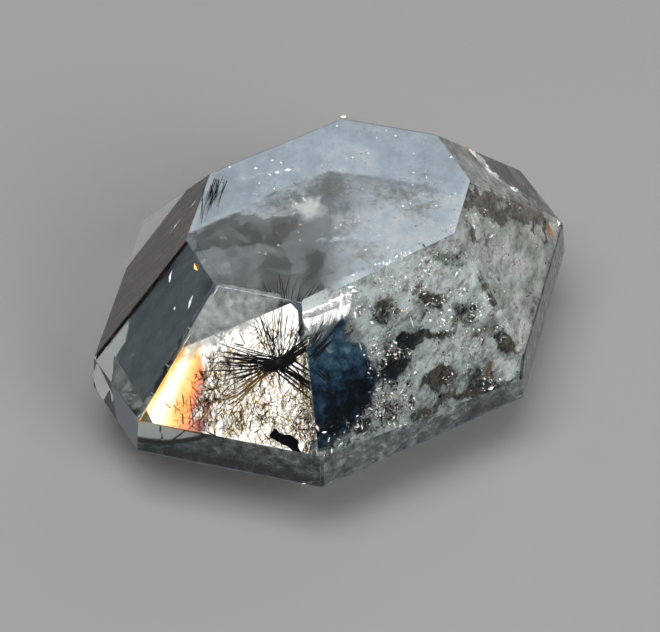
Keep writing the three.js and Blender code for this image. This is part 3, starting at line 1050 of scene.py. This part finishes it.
def makeFibres():
    rng = np.random.default_rng(fibres["seed"])
    where = facetFrame(fibres["facet"])
    total = fibres["count"]
    across = rng.uniform(*fibres["across"], total)
    rise = rng.uniform(*fibres["up"], total)
    places = onFacet(where, across, rise, rng.uniform(*fibres["depth"], total))
    keep = depthInside(places) > fibres["margin"]
    keep &= mottle(places, fibres["patch"]) > rng.uniform(*fibres["patchEdge"], total)
    keep &= seenThrough(where, places)
    for other in fibres["notThrough"]:
        keep &= ~seenThrough(facetFrame(other), places)
    sweep = fanSweep(*facetPlace(where, entryPoint(where, places)))
    keep &= (sweep > fibres["behindFan"][0]) | (rng.uniform(0, 1, total) < fibres["behindFan"][1])
    keep &= (rise < fibres["highUp"][0]) | (rng.uniform(0, 1, total) < fibres["highUp"][1])
    places = places[keep]
    count = len(places)
    lean = rng.normal(0, fibres["lean"], count)
    headings = where["up"] * np.cos(lean)[:, None] + where["level"] * np.sin(lean)[:, None]
    headings = headings + rng.normal(0, fibres["stray"], (count, 3))
    lengths = rng.uniform(*fibres["length"], count)
    widths = rng.uniform(*fibres["width"], count)
    print("fibres:", count)
    return copyMany(makeNeedleModel(), places, headings, widths, widths * fibres["flatness"], lengths,
                    rng.uniform(0, 1, count), rng)


# Flakes: clusters of tiny plates on the healed cracks, dark ones and bright ones that catch the light.
# Each bed gives its facet, the ranges across, up and in depth, a number, how high its cloudy pattern must
# rise for a flake to lie there, the ranges of its radius and of its width for its length, and how far its
# bright plates turn away from the light.
flakeBeds = [
    ("frontRight", (-1.5, 3.4), (-3.4, 1.1), (0.06, 0.26), 9000, 0.33, (0.012, 0.055), (0.3, 0.8), 0.3),
    # slivers along the lower left edge of the front right facet, and a loose cluster beside them
    ("frontRight", (-3.4, -1.2), (-2.75, -2.0), (0.06, 0.3), 420, -0.3, (0.03, 0.13), (0.12, 0.3), 0.3),
    ("frontRight", (-1.75, -0.5), (-2.7, -1.75), (0.06, 0.3), 500, -0.2, (0.015, 0.08), (0.2, 0.7), 0.3),
    ("right", (-3, 3.8), (-3.2, 1.4), (0.06, 0.26), 5000, 0.38, (0.014, 0.05), (0.4, 1), 0.3),
    ("backRight", (-3, 3), (-5, 1.4), (0.06, 0.2), 2500, 0.4, (0.014, 0.05), (0.4, 1), 0.3),
]
brightBeds = [
    # specks in the veil
    ("table", (-3, 4), (-1.8, 3.2), (0.04, 0.11), 1500, 0.1, (0.01, 0.04), (0.4, 1), 0.3),
    # sparks on the front right and right facets
    ("frontRight", (-1.3, 3.2), (-3.3, 1.1), (0.05, 0.2), 7000, 0.2, (0.01, 0.035), (0.3, 1), 0.12),
    ("right", (-3, 3.8), (-3.2, 1.4), (0.05, 0.2), 5000, 0.35, (0.01, 0.035), (0.3, 1), 0.12),
]
flakes = {
    "thickness": 0.2,
    "margin": 0.04,
    "patches": [(0.6, 0.8), (0.18, 0.5)],  # the size of the pattern's patches, and their weight
    "smallOnes": 3,  # the higher, the more of them are small
}


def catchLight(where):
    # the way a plate must face to send the overhead light to the camera through this facet
    light = -np.array(compass(*studio["lights"]["overhead"]["from"]))
    return unit(-sightLine(where) - bend(light, np.array((0, 0, 1.0))))


def makeFlakes(beds, seed, shift, aimed):
    # aimed is 1 for plates that catch the light, and 0 for plates that lie every way
    rng = np.random.default_rng(seed)
    found, facings, lengths, slims = [], [], [], []
    for facet, across, up, depth, total, cut, (smallest, largest), slim, stray in beds:
        where = facetFrame(facet)
        places = onFacet(where, *(rng.uniform(*limits, total) for limits in (across, up, depth)))
        patches = sum(mottle(places, size, shift) * weight for size, weight in flakes["patches"])
        places = places[(depthInside(places) > flakes["margin"]) & (patches > cut)]
        count = len(places)
        found.append(places)
        facings.append(catchLight(where) * aimed + rng.normal(0, stray, (count, 3)))
        lengths.append(rng.uniform(0, 1, count) ** flakes["smallOnes"] * (largest - smallest) + smallest)
        slims.append(rng.uniform(*slim, count))
    places, facings, lengths, slims = (np.concatenate(rows) for rows in (found, facings, lengths, slims))
    widths = lengths * slims
    count = len(places)
    print("flakes:", count)
    return copyMany(makeGrainModel(), places, facings, lengths, widths, widths * flakes["thickness"],
                    rng.uniform(0, 1, count), rng)


# Glints: single bright plates that the photograph shows, 0.1 mm under their facets. Each goes from one
# (across, up) place to another, and has a half width and a tint from 0, orange, to 1, white.
glintDepth = 0.1
glints = [
    ("leftFront", (-0.42, -0.97), (-0.17, -1.3), 0.05, 1),
    ("leftFront", (0.69, -0.83), (0.91, -1.26), 0.05, 1),
    ("leftFront", (0.47, -1.45), (0.53, -1.58), 0.03, 1),
    ("leftFront", (0.1, -0.39), (0.3, -0.39), 0.06, 0),
    ("left", (0.24, -0.29), (0.53, -0.92), 0.06, 1),
    ("left", (0.04, 0.3), (0.2, -0.1), 0.04, 1),
    ("table", (0.18, 3.5), (0.34, 3.5), 0.05, 1),
    ("table", (2.85, 2.2), (2.93, 2.3), 0.05, 1),
    ("frontRight", (0.15, -0.41), (0.1, -0.83), 0.045, 1),
    ("frontRight", (-1.18, 0.95), (-0.99, 0.67), 0.11, 1),
    ("frontRight", (-1.42, -0.41), (-1.44, -0.77), 0.03, 0.6),
    ("frontRight", (1.46, -3.05), (1.66, -3.08), 0.08, 1),
    ("right", (1.3, -0.48), (1.4, -0.7), 0.07, 1),
    ("right", (0.92, -0.56), (1.16, -0.76), 0.06, 1),
    ("right", (0.9, 0.17), (0.65, -0.07), 0.09, 1),
    ("table", (-2.02, 1.54), (-1.92, 1.54), 0.03, 1),
    ("table", (-1.49, 1.39), (-1.36, 1.39), 0.03, 1),
    ("table", (-1.26, 1.46), (-1.06, 1.5), 0.03, 1),
    ("backRight", (1.35, -1.7), (1.6, -1.95), 0.1, 0),
    ("right", (3.42, -2.39), (2.98, -2.92), 0.1, 0),
    ("right", (3.62, -2.75), (3.8, -3.0), 0.12, 1),
    ("leftFront", (0.05, -0.36), (0.35, -0.4), 0.09, 0),
]
# the white streaked wedge at the top of the front right facet: thin plates side by side, between two lines
shards = {
    "seed": 5,
    "facet": "frontRight",
    "lower": ((-2.6, 0.2), (-1.5, 0.12)),
    "upper": ((-2.4, 1.05), (-1.05, 0.9)),
    "depth": 0.2,
    "count": 110,
    "halfWidth": (0.03, 0.1),
    "lengthShare": (0.5, 1.1),
    "tint": (0.5, 1),
    "stray": 0.02,
}


def makeGlints():
    rng = np.random.default_rng(shards["seed"])
    places, facings, alongs, lengths, widths, tints = [], [], [], [], [], []
    for facet, near, far, halfWidth, tint in glints:
        where = facetFrame(facet)
        start, end = (onFacet(where, *place, glintDepth) for place in (near, far))
        places.append((start + end) / 2)
        facings.append(catchLight(where))
        alongs.append(end - start)
        lengths.append(np.linalg.norm(end - start) / 2)
        widths.append(halfWidth)
        tints.append(tint)
    where = facetFrame(shards["facet"])
    sides = [np.array(shards[side]) for side in ("lower", "upper")]
    for i in range(shards["count"]):
        share = rng.uniform(0, 1)
        ends = [side[0] + (side[1] - side[0]) * share for side in sides]
        start, end = (onFacet(where, *place, shards["depth"]) for place in ends)
        places.append((start + end) / 2)
        facings.append(catchLight(where) + rng.normal(0, shards["stray"], 3))
        alongs.append(end - start)
        lengths.append(np.linalg.norm(end - start) / 2 * rng.uniform(*shards["lengthShare"]))
        widths.append(rng.uniform(*shards["halfWidth"]))
        tints.append(rng.uniform(*shards["tint"]))
    widths = np.array(widths)
    print("glints:", len(places))
    return copyMany(makeGrainModel(), np.array(places), np.array(facings), np.array(lengths), widths,
                    widths * flakes["thickness"], np.array(tints), rng, np.array(alongs))


# Loose needles: bundles of fine black needles, each from one (across, up) line on a facet to another
needleBundles = [
    # the left corner of the table
    {"facet": "table", "from": ((-2.85, 1.25), (-3.1, 0.6)), "to": ((-3.15, 0.0), (-3.45, -0.7)),
     "depth": (0.05, 0.11), "count": 20, "width": 0.016, "stray": 0.12},
    # across the front edge, in line with the star's sprays
    {"facet": "frontRight", "from": ((-2.78, -0.4), (-2.6, -0.12)), "to": ((-1.96, -0.12), (-1.4, 0.22)),
     "depth": (0.07, 0.12), "count": 8, "width": 0.03, "stray": 0.04},
    {"facet": "frontRight", "from": ((-2.72, -0.1), (-2.6, 0.1)), "to": ((-1.95, 0.25), (-1.85, 0.75)),
     "depth": (0.07, 0.12), "count": 8, "width": 0.02, "stray": 0.05},
    {"facet": "frontRight", "from": ((-2.78, -0.55), (-2.74, -0.8)), "to": ((-2.45, -1.0), (-2.5, -1.4)),
     "depth": (0.07, 0.12), "count": 4, "width": 0.03, "stray": 0.03},
]
bundleSpread = {"seed": 8, "lengthShare": (0.4, 1), "widthShare": (0.5, 1.4), "tint": (0, 0.6)}


def makeNeedleBundles():
    rng = np.random.default_rng(bundleSpread["seed"])
    found, ways, lengths, widths = [], [], [], []
    for row in needleBundles:
        where = facetFrame(row["facet"])
        total = row["count"]
        share = rng.uniform(0, 1, (total, 1))
        ends = []
        for side in ("from", "to"):
            near, far = np.array(row[side])
            ends.append(near + (far - near) * share + rng.normal(0, row["stray"], (total, 2)))
        depths = rng.uniform(*row["depth"], total)
        places, tips = (onFacet(where, end[:, 0], end[:, 1], depths) for end in ends)
        reach = np.linalg.norm(tips - places, axis=1)
        found.append(places)
        ways.append(tips - places)
        lengths.append(reach * rng.uniform(*bundleSpread["lengthShare"], total))
        widths.append(row["width"] * rng.uniform(*bundleSpread["widthShare"], total))
    places, ways, lengths, widths = (np.concatenate(rows) for rows in (found, ways, lengths, widths))
    print("loose needles:", len(places))
    return copyMany(makeNeedleModel(), places, ways, widths, widths, lengths,
                    rng.uniform(*bundleSpread["tint"], len(places)), rng)


makeCamera()
makeStudio()
print("camera and studio")
facets = readFacets()
stone = makeQuartz()
finishPiece(stone, "quartz", quartzMaterials())
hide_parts("quartz_base", "quartz_crown")

# hollandite: black and dully shining, with thin needles gold brown where light comes through them
hollandite = tintedMaterial("hollanditeNeedle", [(0, "030203"), (0.5, "060405"), (0.7, "241408"),
                                                 (1, "a87830")],
                            {"Roughness": 0.6, "Specular IOR Level": 0.25})
star = makeNeedleStar()
finishPiece(star, "needle_star", [hollandite])
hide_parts("hollandite_star")

filmMaterials = {name: filmMaterial(name, look) for name, look in filmLooks.items()}
for row in films:
    look = row["look"]
    finishPiece(makeFilm(row), row["name"], [filmMaterials[look]])
finishPiece(makeFan(), "iron_fan", [fanMaterial()])
print("films:", len(films) + 1)

# hollow fibres: clear tubes that bend light a little, mostly white and here and there stained golden or brown
hollowFibre = tintedMaterial("hollowFibre", [(0, "241c18"), (0.14, "7c6040"), (0.28, "d0a868"),
                                             (0.45, "ece0c8"), (0.7, "ffffff"), (1, "ffffff")],
                             {"Roughness": 0, "Transmission Weight": 1, "IOR": 1.1})
finishPiece(makeFibres(), "pale_fibres", [hollowFibre])

# manganese mineral: blue black to dark brown and nearly matt, so the flakes stay dark under every light
darkFlake = tintedMaterial("manganeseFlake", [(0, "05060a"), (0.7, "101820"), (1, "3a2c20")],
                           {"Roughness": 0.6, "Specular IOR Level": 0.2})
finishPiece(makeFlakes(flakeBeds, seed=21, shift=0, aimed=0), "dark_flakes", [darkFlake])
# gaps and plates that mirror the light: silvery white sparks, a few of them orange
brightFlake = tintedMaterial("silveryFlake", [(0, "d8a058"), (0.06, "e8d0a8"), (0.12, "e0e4e4"),
                                              (1, "ffffff")],
                             {"Roughness": 0.25, "Metallic": 0.8})
brightFlakes = makeFlakes(flakeBeds + brightBeds, seed=22, shift=7, aimed=1)
finishPiece(brightFlakes, "bright_flakes", [brightFlake])
finishPiece(makeGlints(), "glints", [brightFlake])
finishPiece(makeNeedleBundles(), "loose_needles", [hollandite])
